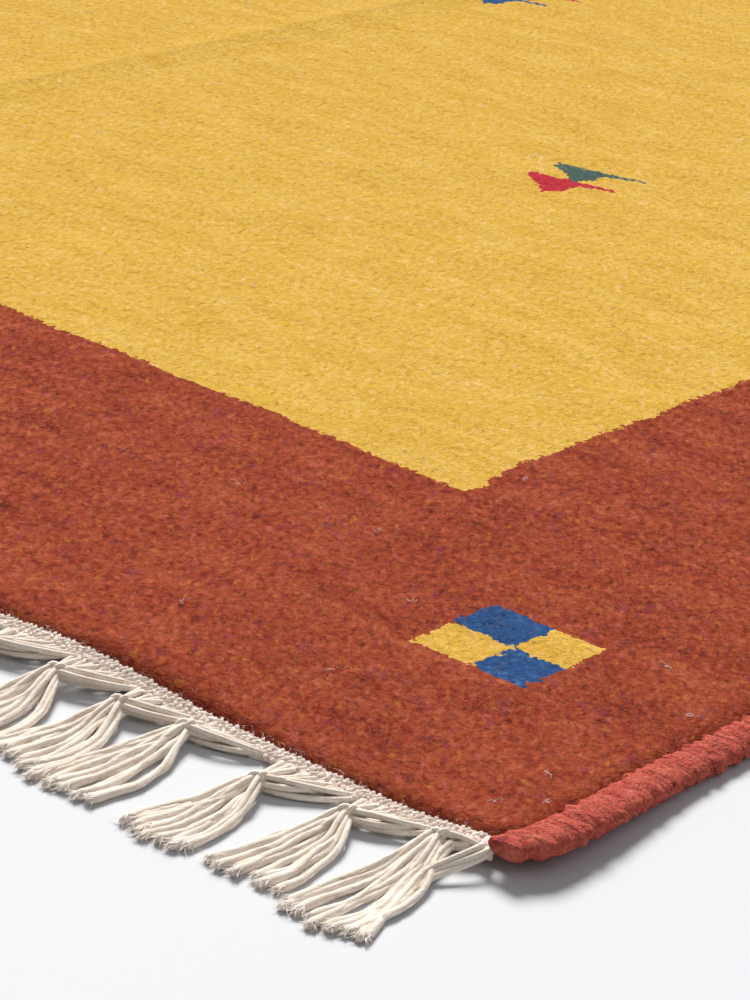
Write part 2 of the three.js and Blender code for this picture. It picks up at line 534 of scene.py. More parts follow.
# Weave: uneven beads of handspun weft and pits between them, with random numbers for the colours
def make_weave_group():
    outputs = {"Height": "Float", "Pit": "Float", "Chance": "Float", "Tint": "Float", "Bead": "Vector"}
    tree, place, wanted = new_group("weft_faced_weave", "Place", outputs)
    moved = pushed(place, noise(place, 210, 3, 0.6, "Color"), 0.0032)
    fed = {"Vector": scaled(moved, (1 / BEAD_PITCH, 1 / BEAD_PITCH, 0)), "Scale": 1.0, "Randomness": 0.78}
    bead = fed_node("ShaderNodeTexVoronoi", fed, voronoi_dimensions="2D")
    hump = spread(output(bead, "Distance"), 0.62, 0.12)
    spun = leaned(place)
    hairs = noise(scaled(spun, (1250, 560, 1)), 1.0, 3, 0.6)
    lumps = noise(scaled(spun, (400, 190, 1)), 1.0, 3, 0.6)
    holes = noise(scaled(leaned(moved), (330, 150, 1)), 1.0, 2, 0.55)
    hole = spread(holes, 0.56, 0.74)
    feed(wanted["Height"], hump * 0.18 + lumps * 1.7 + hairs * 0.50 - hole * 0.7)
    # The pits go into the height above and also out to the wool colour, where they are painted as shade.
    feed(wanted["Pit"], hole)
    feed(wanted["Chance"], split_colour(output(bead, "Color"))[0])
    feed(wanted["Tint"], hairs)
    middle = scaled(output(bead, "Position"), (BEAD_PITCH, BEAD_PITCH, 0))
    feed(wanted["Bead"], pushed(middle, noise(place, 900, 1, given="Color"), 0.0015))
    return tree


def bird_mask(x, y, centre):
    """Mask of a bird, charted in rows that each stretch from a left to a right end."""
    x = x - centre[0]
    y = y - centre[1]
    span = 60 * MM
    tall = len(BIRD) * BIRD_ROW
    stops = [((i + 0.5) / len(BIRD), (left * MM / span + 0.5, right * MM / span + 0.5, 0))
             for i, (left, right) in enumerate(BIRD)]
    ends = split_colour(ramp(y / tall, stops))
    return inside(x / span + 0.5, ends[0], ends[1]) * inside(y, 0.0, tall)


# Design: which yarn each bead is woven in, as masks
def make_design_group():
    outputs = dict.fromkeys(("Field", "Yellow", "Blue", "Red", "Green"), "Float")
    tree, bead, wanted = new_group("rug_design", "Bead", outputs)
    x, y, _ = split(bead)
    far = x.math("ABSOLUTE")
    deep = y.math("ABSOLUTE")
    comb = (noise(joined(0.0, y, 5.0), 300, 2, 0.7) - 0.5) * 0.0075
    steps = (noise(joined(0.0, y, 3.0), 42, 1) - 0.5) * 0.012
    foot_from = RUG_LENGTH / 2 - END_BORDER - FIELD_FOOT_ALONG
    foot = spread(deep, foot_from - 0.004, foot_from, 0.0, FIELD_FOOT_OUT)
    drift = (noise(joined(x, 0.0, 7.0), 5.5, 2) - 0.5) * 0.012
    fine = (noise(joined(x, 0.0, 1.0), 70, 1) - 0.5) * 0.004
    in_width = far + (comb + steps) - foot < RUG_WIDTH / 2 - SIDE_BORDER
    in_length = deep + (drift + fine) < RUG_LENGTH / 2 - END_BORDER
    feed(wanted["Field"], in_width * in_length)
    edge_x = far - (RUG_WIDTH / 2 - CHECKER_FROM_SIDE) + comb
    edge_y = deep - (RUG_LENGTH / 2 - CHECKER_FROM_END) + fine * 1.2
    block = inside(edge_x, -CHECKER_BLOCK, CHECKER_BLOCK) * inside(edge_y, -CHECKER_BLOCK, CHECKER_BLOCK)
    same = (edge_x - CHECKER_MIDDLE_OUT) * edge_y > 0.0
    feed(wanted["Yellow"], block * (1.0 - same))
    turned_x = x * (y * -1.0).math("SIGN") + comb * 0.5
    turned_y = deep * -1.0
    mirrored_x = far + comb * 0.5
    red = bird_mask(mirrored_x, turned_y, FIELD_PAIR)
    for step_x, step_y in MIDDLE_STEPS:
        place = (MIDDLE_BIRD[0] + step_x, MIDDLE_BIRD[1] + step_y)
        red = either(red, bird_mask(turned_x, turned_y, place))
    blue = bird_mask(turned_x, turned_y, MIDDLE_BIRD)
    second = (FIELD_PAIR[0] + FIELD_STEP[0], FIELD_PAIR[1] + FIELD_STEP[1])
    feed(wanted["Red"], red * (1.0 - blue))
    feed(wanted["Green"], bird_mask(mirrored_x, turned_y, second))
    feed(wanted["Blue"], either(blue, block * same))
    return tree


# Yarn colours, linear, and the tufts of other wool carded into them
RUST = ((0.0, (0.098, 0.012, 0.007)), (0.2, (0.178, 0.023, 0.012)), (0.45, (0.266, 0.043, 0.0175)),
        (0.7, (0.333, 0.068, 0.028)), (1.0, (0.425, 0.118, 0.062)))
YELLOW = ((0.0, (0.460, 0.234, 0.019)), (0.25, (0.562, 0.324, 0.040)), (0.55, (0.622, 0.378, 0.062)),
          (0.8, (0.655, 0.420, 0.106)), (1.0, (0.690, 0.464, 0.175)))
BLUE = ((0.0, (0.014, 0.045, 0.135)), (0.6, (0.022, 0.078, 0.215)), (1.0, (0.070, 0.150, 0.310)))
RED = ((0.0, (0.330, 0.012, 0.026)), (0.6, (0.460, 0.026, 0.042)), (1.0, (0.490, 0.058, 0.066)))
GREEN = ((0.0, (0.034, 0.064, 0.056)), (0.6, (0.064, 0.108, 0.090)), (1.0, (0.125, 0.175, 0.140)))
GOLD_TUFT = (0.450, 0.150, 0.020)
PLUM_TUFT = (0.200, 0.032, 0.055)
ROSE_TUFT = (0.480, 0.115, 0.080)
DEEP_YELLOW = (0.570, 0.300, 0.020)
BLUSH_YELLOW = (0.780, 0.470, 0.200)
BINDING_WOOL = ((0.28, (0.230, 0.034, 0.036)), (0.42, (0.440, 0.069, 0.049)),
                (0.56, (0.540, 0.108, 0.072)), (0.72, (0.620, 0.176, 0.124)))


def make_wool_group(weave, design):
    tree, place, wanted = new_group("woven_wool", "Place", {"Color": "Color", "Height": "Float"})
    woven = group_at(weave, place)
    masks = group_at(design, woven["Bead"])
    x, y, _ = split(place)
    spun = leaned(place)
    mottle = noise(scaled(spun, (360, 170, 1)), 1.0, 3, 0.65)
    cloudy = noise(scaled(place, (22, 48, 1)), 1.0, 3, 0.55)
    pick = woven["Chance"] * 0.26 + 0.37 + (mottle - 0.5) * 1.3 + (cloudy - 0.5) * 0.8
    tufts = split_colour(noise(scaled(spun, (250, 120, 1)), 1.0, 2, 0.6, "Color"))
    rust = ramp(pick, RUST)
    for tuft, share, colour in ((0, 0.55, GOLD_TUFT), (1, 0.6, PLUM_TUFT), (2, 0.5, ROSE_TUFT)):
        rust = blend(spread(tufts[tuft], 0.60, 0.72, 0.0, share), rust, colour)
    yellow = ramp(pick, YELLOW)
    for tuft, share, colour in ((0, 0.5, DEEP_YELLOW), (2, 0.55, BLUSH_YELLOW)):
        yellow = blend(spread(tufts[tuft], 0.58, 0.72, 0.0, share), yellow, colour)
    colour = blend(masks["Field"], rust, yellow)
    colour = blend(masks["Yellow"], colour, yellow)
    for mask, yarn in (("Blue", BLUE), ("Red", RED), ("Green", GREEN)):
        colour = blend(masks[mask], colour, ramp(pick, yarn))
    streaks = noise(joined(x * 12.0, y * 95.0), 1.0, 3, 0.6)
    tone_and_shade = spread(streaks, 0.25, 0.75, 0.93, 1.05) * spread(woven["Tint"], 0.2, 0.8, 0.88, 1.10)
    # Painted shade: the wool is made up to 10% darker within 6 mm of the fold crease down the middle.
    tone_and_shade = tone_and_shade * spread((x - 0.001).math("ABSOLUTE"), 0.0, 0.006, 0.90, 1.0)
    pale = either(masks["Field"], masks["Yellow"])
    # Painted shade: the pits between the beads are darkened, by 40% on the rust and other dark yarns and by
    # 14% on the pale yellow.
    tone_and_shade = tone_and_shade * (1.0 - woven["Pit"] * (0.40 - pale * 0.26))
    shades = fed_node("ShaderNodeVectorMath", {0: colour, "Scale": tone_and_shade}, operation="SCALE")
    feed(wanted["Color"], output(shades))
    feed(wanted["Height"], woven["Height"])
    return tree


def new_material(name, roughness):
    """A new material, its shader's inputs and the place on the object that it colours."""
    material = bpy.data.materials.new(name)
    material.use_nodes = True
    wanted = material.node_tree.nodes["Principled BSDF"].inputs
    wanted["Roughness"].default_value = roughness
    wanted["Specular IOR Level"].default_value = 0.05
    place = output(new_node(material.node_tree, "ShaderNodeTexCoord"), "Object")
    return material, wanted, place


def add_bump(wanted, height, distance, strength):
    fed = {"Strength": strength, "Distance": distance, "Height": height}
    feed(wanted["Normal"], output(fed_node("ShaderNodeBump", fed)))


def make_cloth_wool(wool):
    material, wanted, place = new_material("woven_wool", 0.95)
    parts = group_at(wool, place)
    feed(wanted["Base Color"], parts["Color"])
    add_bump(wanted, parts["Height"], 0.0010, 0.62)
    return material


def make_fibre_wool(wool):
    material, wanted, place = new_material("loose_wool_fibre", 0.9)
    feed(wanted["Base Color"], blend(0.17, group_at(wool, place)["Color"], (0.88, 0.52, 0.40)))
    return material


def make_binding_wool():
    material, wanted, place = new_material("overcast_wool", 0.95)
    groove = output(new_node(place.tree, "ShaderNodeAttribute", attribute_name="groove"), "Fac")
    hairs = noise(scaled(place, (700, 1500, 700)), 1.0, 3, 0.6)
    colour = ramp(noise(place, 190, 4, 0.65), BINDING_WOOL)
    # The raised hairs of the bump are blended towards pale pink: partly the lighter fuzz of the wool,
    # partly painted highlight.
    colour = blend(spread(hairs, 0.50, 0.80), colour, (0.640, 0.216, 0.166))
    colour = blend(spread(noise(place, 150, 2, 0.6), 0.60, 0.72, 0.0, 0.6), colour, PLUM_TUFT)
    # Painted shade: the grooves between the wraps and the noise pits, both also sunk by the bump, are
    # blended towards a near black red.
    pits = spread(noise(place, 260, 2, 0.6), 0.58, 0.72, 0.0, 0.50)
    dark = either(spread(groove, 0.25, 1.0, 0.0, 0.55), pits)
    feed(wanted["Base Color"], blend(dark, colour, (0.110, 0.018, 0.020)))
    add_bump(wanted, hairs + noise(place, 420, 3, 0.6) * 2.0 - dark, 0.0010, 0.75)
    return material


def make_cotton(name, dark, mid, light):
    material, wanted, place = new_material(name, 0.85)
    along = output(new_node(place.tree, "ShaderNodeUVMap", uv_map="along"))
    around, run, _ = split(along)
    wound = around + run * 5.0
    hairs = noise(joined(wound * 9.0, run * 16.0), 1.0, 3, 0.6)
    fine = noise(place, 1100, 2, 0.6)
    cloudy = noise(place, 160, 3, 0.6)
    feed(wanted["Base Color"], ramp(cloudy * 0.6 + hairs * 0.4, ((0.3, dark), (0.5, mid), (0.7, light))))
    add_bump(wanted, fine * 0.4 + hairs, 0.0004, 0.7)
    return material


def make_plain(name, colour, roughness):
    material, wanted, place = new_material(name, roughness)
    feed(wanted["Base Color"], blend(noise(place, 3.0, 2), colour, tuple(c * 0.985 for c in colour)))
    return material


# Cloth
def ripple(x, y, rng):
    """Small unevenness of the beaten cloth, a fraction of a millimetre."""
    height = np.zeros_like(x)
    for _ in range(10):
        way = rng.uniform(0, np.pi)
        length = rng.uniform(0.024, 0.095)
        phase = rng.uniform(0, 2 * np.pi)
        height += np.sin(2 * np.pi * (x * np.cos(way) + y * np.sin(way)) / length + phase)
    return 0.00009 * height


def make_cloth(material):
    shape = bmesh.new()
    bmesh.ops.create_grid(shape, x_segments=114, y_segments=166, size=0.5)
    cloth = new_piece("cloth", shape)
    unit = points_of(cloth.data)
    x = unit[:, 0] * 2 * HALF_CLOTH
    y = unit[:, 1] * RUG_LENGTH
    z = CLOTH_TOP + lift(x, y) + ripple(x, y, np.random.default_rng(11))
    near_side = (np.abs(unit[:, 0]) * 2) ** 8 * np.sign(unit[:, 0])
    out = np.where(unit[:, 0] > 0, side_out(1, y), side_out(-1, y))
    put_points(cloth.data, np.stack([x + out * near_side, y, z], axis=1))
    wall = cloth.modifiers.new("thickness", "SOLIDIFY")
    wall.thickness = CLOTH_THICKNESS
    wall.offset = -1
    return finish_piece(cloth, material, "woven_cloth")


# Side bindings
def make_binding(side, material):
    """The wraps of a binding. The stretch by the lifted corner has finer steps than the rest."""
    near_corner = 0.19
    fine = np.arange(0, near_corner, 0.00042 if side > 0 else 0.00115)
    rest = np.arange(near_corner, RUG_LENGTH, 0.00115)
    stretch = 1 + 2 * BINDING_PAST_CLOTH / RUG_LENGTH
    lines = (np.concatenate([fine, rest, [RUG_LENGTH]]) - RUG_LENGTH / 2) * stretch
    binding = new_piece(at_side("binding_wrap", side), tube_shape(14, len(lines) - 1))
    unit = points_of(binding.data)
    stop = np.rint(unit[:, 2] * (len(lines) - 1)).astype(int)
    y = lines[stop]
    turn = np.arctan2(unit[:, 1], unit[:, 0])
    rng = np.random.default_rng(21 + side)
    slant = WRAP_SLANT * np.sin(turn + 0.6)
    wander = 0.0013 * np.sin(y * 96) + 0.0009 * np.sin(y * 231 + 1.3) + 0.0006 * np.sin(y * 410 + turn)
    wraps = (y + slant + wander) / WRAP_PITCH
    index = np.floor(wraps).astype(int) + MIDDLE_WRAP
    depth = rng.uniform(0.15, 1.0, WRAPS)[index]
    hump = 1 - depth * (1 - np.abs(np.sin(np.pi * wraps)) ** 0.7)
    size = rng.uniform(-1, 1, WRAPS)[index]
    lump = np.zeros_like(y)
    for _ in range(8):
        length = rng.uniform(0.0045, 0.013)
        turns = rng.integers(-3, 4)
        lump += np.sin(2 * np.pi * y / length + turns * turn + rng.uniform(0, 2 * np.pi))
    grow = -0.0005 + 0.0005 * hump + 0.00020 * size + 0.00022 * lump
    cap = np.clip((RUG_LENGTH / 2 + BINDING_PAST_CLOTH - np.abs(y)) / BINDING_CAP, 0, 1)
    round_end = np.sqrt(1 - (1 - cap) ** 2) * 0.26 + 0.74
    flat = 0.82
    middle, half, under = binding_line(side, y)
    wide = (half + grow) * round_end
    high = (BINDING_HEIGHT / 2 + grow * 0.8) * round_end
    across = np.sign(np.cos(turn)) * np.abs(np.cos(turn)) ** flat
    upward = np.sign(np.sin(turn)) * np.abs(np.sin(turn)) ** flat
    tucked = 0.0011 * np.clip(-side * np.cos(turn), 0, 1)
    x = middle + across * wide - side * tucked
    z = under + BINDING_HEIGHT / 2 + upward * high + 0.0003
    put_points(binding.data, np.stack([x, y, z], axis=1))
    # The groove is how deep a point lies between two wraps; the material paints it as shade.
    groove = binding.data.attributes.new("groove", "FLOAT", "POINT")
    groove.data.foreach_set("value", np.clip(1 - hump - 0.09 * lump, 0, 1).astype(np.float32))
    face_outwards(binding)
    return finish_piece(binding, material, at_side("binding", side))


# Fringes, in places past an end of the cloth: x, distance and height
def to_rug(end, places):
    out = np.array(places, dtype=float)
    out[..., 1] = end * (RUG_LENGTH / 2 + out[..., 1])
    return out


def knot_places(end):
    """Where the knots of an end sit, how their tassels lean and how far they hang past the cloth."""
    pitch = (RUG_WIDTH - 2 * FIRST_KNOT) / (TASSELS - 1)
    index = np.arange(TASSELS)
    shift = 1.6 * uneven(index, end)
    lean = 1.5 * uneven(index, end + 3)
    reach = KNOT_REACH + KNOT_REACH_UNEVEN * uneven(index, end + 5)
    if end < 0:
        shift[:len(SEEN_SHIFTS)] = SEEN_SHIFTS
        lean[:len(SEEN_LEANS)] = SEEN_LEANS
        reach[:len(SEEN_REACHES)] = SEEN_REACHES
    return RUG_WIDTH / 2 - FIRST_KNOT - index * pitch - shift * MM, lean * MM, reach * MM


def make_band(end, material):
    shape = bmesh.new()
    bmesh.ops.create_grid(shape, x_segments=560, y_segments=3, size=0.5)
    band = new_piece(at_end("band", end), shape)
    unit = points_of(band.data)
    x = unit[:, 0] * 2 * BAND_HALF
    share = 0.5 + end * unit[:, 1]
    distance = SEAM + share * (BAND_DEPTH - SEAM + 0.0006 * np.sin(x * 410))
    z = BAND_TOP + lift_past(x, end, distance) - BAND_DROOP * share
    if end < 0:
        x = flared(x, distance)
    put_points(band.data, to_rug(end, np.stack([x, distance, z], axis=1)))
    wall = band.modifiers.new("thickness", "SOLIDIFY")
    wall.thickness = BAND_WALL
    wall.offset = -1
    return finish_piece(band, material, at_end("fringe", end))


# Rows of twining on the band: distance, pitch, slant across, length along, thickness, height, in mm
TWINING = (
    (0.3, 2.30, 2.3, 3.0, 2.0, 3.1),
    (2.2, 2.4, -2.4, 3.0, 1.9, 3.3),
    (3.9, 2.5, 2.4, 3.0, 1.9, 3.2),
    (5.5, 2.6, -2.3, 2.9, 1.9, 3.0),
    (6.9, 2.9, 2.0, 2.8, 1.9, 2.7),
)


def flared(x, distance):
    """Spreads the band's near right end outwards, towards the corner."""
    return x + CORNER_FLARE * bell((x - BAND_HALF) / 0.014) * smooth(distance / BAND_DEPTH)


def make_twining(name, end, span, stops, sides, seed, material):
    rng = np.random.default_rng(seed)
    paths = []
    girths = []
    share = np.linspace(-0.5, 0.5, stops)
    for distance, pitch, slant, length, thick, high in TWINING:
        x = np.arange(span[0] + 0.002, span[1] - 0.001, pitch * MM)
        x = x + rng.normal(0, 0.00022, len(x))
        tilt = slant * MM * (1 + rng.normal(0, 0.16, len(x)))
        reach = length * MM * (1 + rng.normal(0, 0.12, len(x)))
        middle = distance * MM + rng.normal(0, 0.00048, len(x))
        at_x = x[:, None] + tilt[:, None] * share
        at_d = middle[:, None] + reach[:, None] * share
        arch = np.cos(np.pi * share * 0.9) * 0.0006 - 0.0007
        at_z = high * MM + arch + lift_past(at_x, end, np.clip(at_d, 0, 1))
        at_z = at_z + rng.normal(0, 0.00015, (len(x), 1))
        if end < 0:
            at_x = flared(at_x, at_d)
        paths.append(np.stack([at_x, at_d, at_z], axis=-1))
        profile = 0.2 + 0.8 * np.cos(np.pi * share) ** 0.6
        girths.append(thick * MM / 2 * profile * (1 + rng.normal(0, 0.07, (len(x), 1))))
    twining = cords_along(name, to_rug(end, np.concatenate(paths)), np.concatenate(girths), sides)
    return finish_piece(twining, material)


def bezier(first, pull, last, share):
    share = share[:, None]
    return (first[..., None, :] * (1 - share) ** 2 + 2 * pull[..., None, :] * share * (1 - share)
            + last[..., None, :] * share ** 2)


# Where the cords of one tassel leave the band, from its knot, in mm
SWAG_STARTS = np.linspace(-4.5, 27.5, CORDS)


def packed(tassels, rng):
    """Places of the cords of each tassel round the middle of their bundle, in cord pitches."""
    index = np.arange(CORDS) + 0.5
    turn = index * 2.4 + rng.uniform(0, 2 * np.pi, (tassels, 1))
    return np.sqrt(index) * np.cos(turn), np.sqrt(index) * np.sin(turn)


def make_swags(end, material):
    knots, _, reaches = knot_places(end)
    rng = np.random.default_rng(41 + end)
    starts = knots[:, None] + SWAG_STARTS * MM + rng.normal(0, 0.0006, (TASSELS, CORDS))
    starts[0] = knots[0] + np.linspace(-5, 14, CORDS) * MM
    run = starts - knots[:, None]
    around, over = packed(TASSELS, rng)
    reach = reaches[:, None]
    low = 0.0062 + rng.normal(0, 0.0004, run.shape)
    first = np.stack([starts, low, 0.0024 + lift_past(starts, end, low)], axis=-1)
    pull_x = knots[:, None] + run * 0.58
    pull_d = low + (reach - low) * 0.8 + around * SWAG_PITCH
    pull_z = 0.0040 + over * SWAG_PITCH + lift_past(pull_x, end, pull_d)
    pull = np.stack([pull_x, pull_d, pull_z], axis=-1)
    last_x = np.broadcast_to(knots[:, None], run.shape)
    last_z = KNOT_MIDDLE + over * KNOT_PITCH + lift_past(last_x, end, reach)
    last = np.stack([last_x, reach + around * KNOT_PITCH, last_z], axis=-1)
    stops, sides = (10, 7) if end < 0 else (7, 5)
    paths = bezier(first, pull, last, np.linspace(0, 1, stops)).reshape(-1, stops, 3)
    swags = cords_along(at_end("swags", end), to_rug(end, paths), CORD_RADIUS, sides)
    return finish_piece(swags, material)


# Turns of each knot: bearing of its axis and dip in degrees, half width and half height in mm,
# and its place across and along from the knot's middle in mm
KNOT_TURNS = (
    (12, 8, 2.5, 2.9, 1.4, -0.6),
    (52, -8, 2.5, 2.8, 0.2, 0.9),
)


def make_knots(end, material):
    knots, _, reaches = knot_places(end)
    piece, unit = copies(at_end("knots", end), ring_shape(7, 14), len(knots) * len(KNOT_TURNS))
    way = np.arctan2(unit[:, 1], unit[:, 0])[:, None]
    turn = np.arctan2(unit[:, 2], np.hypot(unit[:, 0], unit[:, 1]) - 1)[:, None]
    rng = np.random.default_rng(51 + end)
    places = []
    for knot, reach in zip(knots, reaches):
        for bearing, dip, wide, high, across, along in KNOT_TURNS:
            bearing = math.radians(bearing + rng.uniform(-14, 14))
            axis = np.array((math.cos(bearing), math.sin(bearing), 0.0))
            level = np.array((-math.sin(bearing), math.cos(bearing), 0.0))
            thick = CORD_RADIUS * rng.uniform(0.85, 1.0)
            radial = np.cos(way) * level + np.sin(way) * UP
            ring = np.cos(way) * level * wide * MM + np.sin(way) * UP * high * MM
            spots = ring + thick * (np.cos(turn) * radial + np.sin(turn) * axis)
            spots = spots + axis * spots[:, 2:] * math.tan(math.radians(dip + rng.uniform(-6, 6)))
            centre = KNOT_MIDDLE + float(lift_past(knot, end, reach))
            places.append(spots + np.array((knot + across * MM, reach + along * MM, centre)))
    put_points(piece.data, to_rug(end, np.concatenate(places)))
    face_outwards(piece)
    return finish_piece(piece, material)


def tassel_paths(end, chosen, stops, seed):
    """Centre lines of the cords of the chosen tassels, fanned out and settled on the floor."""
    knots, leans, reaches = (values[chosen, None] for values in knot_places(end))
    rng = np.random.default_rng(seed)
    shape = (len(knots), CORDS)
    around, over = packed(len(knots), rng)
    order = np.argsort(np.argsort(around, axis=1), axis=1)
    fan = order / (CORDS - 1) * 2 - 1 + rng.normal(0, 0.075, shape)
    length = TASSEL_REACH + 0.0022 * uneven(np.array(chosen)[:, None], 1) + rng.normal(0, 0.0017, shape)
    length = length - 0.0024 * fan ** 2
    share = np.linspace(0, 1, stops)
    start = reaches + 0.0004
    distance = start[..., None] + (length - start)[..., None] * share
    root = knots + around * KNOT_PITCH
    tip = knots + leans + fan * TIP_SPREAD
    x = root[..., None] + (tip - root)[..., None] * np.sin(share * np.pi / 2) ** 0.9
    bulge = 0.0012 + 0.0018 * np.clip(fan, 0, 1)
    x = x + bulge[..., None] * np.sin(np.pi * share)
    for low, high, least, most in ((0.0004, 0.0013, 0.6, 1.6), (0.0001, 0.0003, 2.0, 3.6)):
        sway = rng.uniform(low, high, shape)[..., None]
        turns = rng.uniform(least, most, shape)[..., None]
        phase = rng.uniform(0, 2 * np.pi, shape)[..., None]
        x = x + sway * np.sin(2 * np.pi * turns * share + phase) * smooth(share * 3)
    layer = (order % 2 + rng.uniform(-0.35, 0.35, shape))[..., None]
    floor = CORD_RADIUS * 1.08 + 0.0016 * np.clip(layer, 0, 1.3) * (1 - 0.75 * smooth(share * 1.2))
    high = (KNOT_MIDDLE + over * KNOT_PITCH + lift_past(knots, end, reaches))[..., None]
    z = floor + (high - floor) * (1 - smooth(share / 0.45))
    return to_rug(end, np.stack([x, distance, z], axis=-1).reshape(-1, stops, 3))


def tip_girth(stops):
    share = np.linspace(0, 1, stops)
    loosened = 0.24 * smooth(share * 1.3) + 0.44 * smooth((share - 0.74) / 0.20)
    return CORD_RADIUS * (1 + loosened - 0.60 * smooth((share - 0.96) / 0.04))


def frayed_tips(name, paths, per_cord, seed, material):
    """Loose fibres that fan out of each cord's end."""
    rng = np.random.default_rng(seed)
    ends = np.repeat(paths[:, -1], per_cord, axis=0)
    ahead = np.repeat(unit_length(paths[:, -1] - paths[:, -3]), per_cord, axis=0)
    count = len(ends)
    side = np.stack([-ahead[:, 1], ahead[:, 0], np.zeros(count)], axis=-1)
    sideways = rng.normal(0, 0.32, count)
    upward = np.abs(rng.normal(0, 0.20, count))
    way = unit_length(ahead + side * sideways[:, None] + UP * upward[:, None])
    length = rng.uniform(0.0022, 0.0060, count)
    base = ends - ahead * 0.0030 + side * rng.uniform(-1.3, 1.3, count)[:, None] * CORD_RADIUS
    base[:, 2] += rng.uniform(-0.5, 1.4, count) * CORD_RADIUS
    share = np.linspace(0, 1, 4)[None, :, None]
    lines = base[:, None] + way[:, None] * length[:, None, None] * share
    bend = side * rng.normal(0, 0.0014, count)[:, None]
    lines = lines + bend[:, None] * share ** 2
    lines[..., 2] = np.maximum(lines[..., 2] - 0.001 * share[..., 0] ** 2, 0.00015)
    piece = ribbons_along(name, lines, rng.uniform(0.00026, 0.00048, count), unit_length(side + 0.001))
    return finish_piece(piece, material)


def combed_fibres(name, paths, per_cord, seed, material):
    """Loose fibres that run along the lower part of each cord."""
    rng = np.random.default_rng(seed)
    stops = paths.shape[1]
    span = max(4, stops // 4 - 1)
    count = len(paths) * per_cord
    cord = np.repeat(np.arange(len(paths)), per_cord)
    first = (rng.uniform(0.25, 1, count) * (stops - span)).astype(int)
    lines = paths[cord[:, None], first[:, None] + np.arange(span)]
    ahead = unit_length(lines[:, -1] - lines[:, 0])
    side = np.stack([-ahead[:, 1], ahead[:, 0], np.zeros(count)], axis=-1)
    turn = rng.uniform(-0.3, np.pi + 0.3, count)[:, None]
    share = np.linspace(0, 1, span)[None, :, None]
    around = side * np.cos(turn) + UP * np.sin(turn)
    drift = side * rng.normal(0, 0.0011, (count, 1))
    wave = side * rng.normal(0, 0.00035, (count, 1))
    lines = lines + around[:, None] * CORD_RADIUS * 1.22 + drift[:, None] * (share - 0.4)
    lines = lines + wave[:, None] * np.sin(9 * share + turn[:, None])
    lines[..., 2] = np.maximum(lines[..., 2], 0.0002)
    piece = ribbons_along(name, lines, rng.uniform(0.00010, 0.00018, count), unit_length(side + 0.001))
    return finish_piece(piece, material)


def make_tassels(name, end, chosen, seed, material, fray_material, stops, sides, frays, combs):
    paths = tassel_paths(end, chosen, stops, seed)
    phase = np.random.default_rng(seed + 1).uniform(0, 2 * np.pi, len(paths))
    twist = CORD_TWIST if sides > 5 else 0.0
    tassels = cords_along(name, paths, tip_girth(stops), sides, twist, phase)
    finish_piece(tassels, material)
    fray = frayed_tips(name + "_frayed", paths, frays, seed + 2, fray_material)
    combed = combed_fibres(name + "_combed", paths, combs, seed + 3, material)
    return [tassels, fray, combed]


# Corner cords: where each leaves the band, its place beside the last tassel, and its tip, in mm
CORNER_CORDS = (
    (687.0, 6.6, 680.0, 689.0),
    (686.0, 7.6, 679.0, 687.5),
    (684.5, 8.0, 677.8, 691.0),
    (675.0, 10.0, 678.6, 686.0),
    (673.5, 10.6, 677.4, 684.5),
)
CORNER_MEET = 32
CORNER_REACH = 75


def make_corner_cords(end, side, material, fray_material):
    stops = 22
    share = np.linspace(0, 1, stops)
    meet = 0.42
    before = smooth(share / meet)
    after = np.clip((share - meet) / (1 - meet), 0, 1)
    lines = []
    for k, (from_x, from_d, meet_x, tip_x) in enumerate(CORNER_CORDS):
        x = from_x + (meet_x - from_x) * before + (tip_x - meet_x) * after ** 1.2
        x = (x + 0.5 * np.sin(7 * share + k * 1.9)) * MM * side
        near = from_d + (CORNER_MEET - from_d) * share / meet
        distance = np.where(share < meet, near, CORNER_MEET + (CORNER_REACH - k - CORNER_MEET) * after) * MM
        z = CORD_RADIUS * 1.1 + 0.0014 * (1 - smooth(share / 0.55)) + lift_past(x, end, distance)
        z = z + (k % 3) * 0.0012 * (1 - smooth(share * 1.1))
        lines.append(np.stack([x, distance, z], axis=-1))
    paths = to_rug(end, np.array(lines))
    name = at_side(at_end("corner_cords", end), side)
    phase = np.arange(len(paths)) * 1.7
    cords = cords_along(name, paths, tip_girth(stops), 7, CORD_TWIST, phase)
    finish_piece(cords, material)
    fray = frayed_tips(name + "_frayed", paths, 10, 90 + end * 2 + side, fray_material)
    return [cords, fray]


# Cotton fluff on the band and the knotted cords
def make_fluff(end, material):
    rng = np.random.default_rng(131 + end)
    count = 5200 if end < 0 else 2600
    x = rng.uniform(-1, 1, count) * BAND_HALF
    distance = rng.uniform(-0.0008, 0.0150, count)
    way = rng.uniform(0, 2 * np.pi, count)
    curl = rng.normal(0, 1.5, count)
    length = rng.gamma(4.0, 0.0008, count)
    at_x, at_d, share = curled(x, distance, way, curl, length)
    at_d = np.clip(at_d, -0.0015, 0.03)
    rise = rng.uniform(0.0001, 0.0009, (count, 1)) * np.sin(np.pi * share * 0.8)
    at_z = 0.0044 + rise + lift_past(at_x, end, np.clip(at_d, 0, 1)) - 0.0010 * smooth(at_d / 0.02)
    paths = to_rug(end, np.stack([at_x, at_d, at_z], axis=-1))
    side = np.stack([-np.sin(way), np.cos(way), np.full(count, 0.5)], axis=-1)
    width = rng.uniform(0.00009, 0.00016, count)
    piece = ribbons_along(at_end("fluff", end), paths, width, unit_length(side))
    return finish_piece(piece, material)


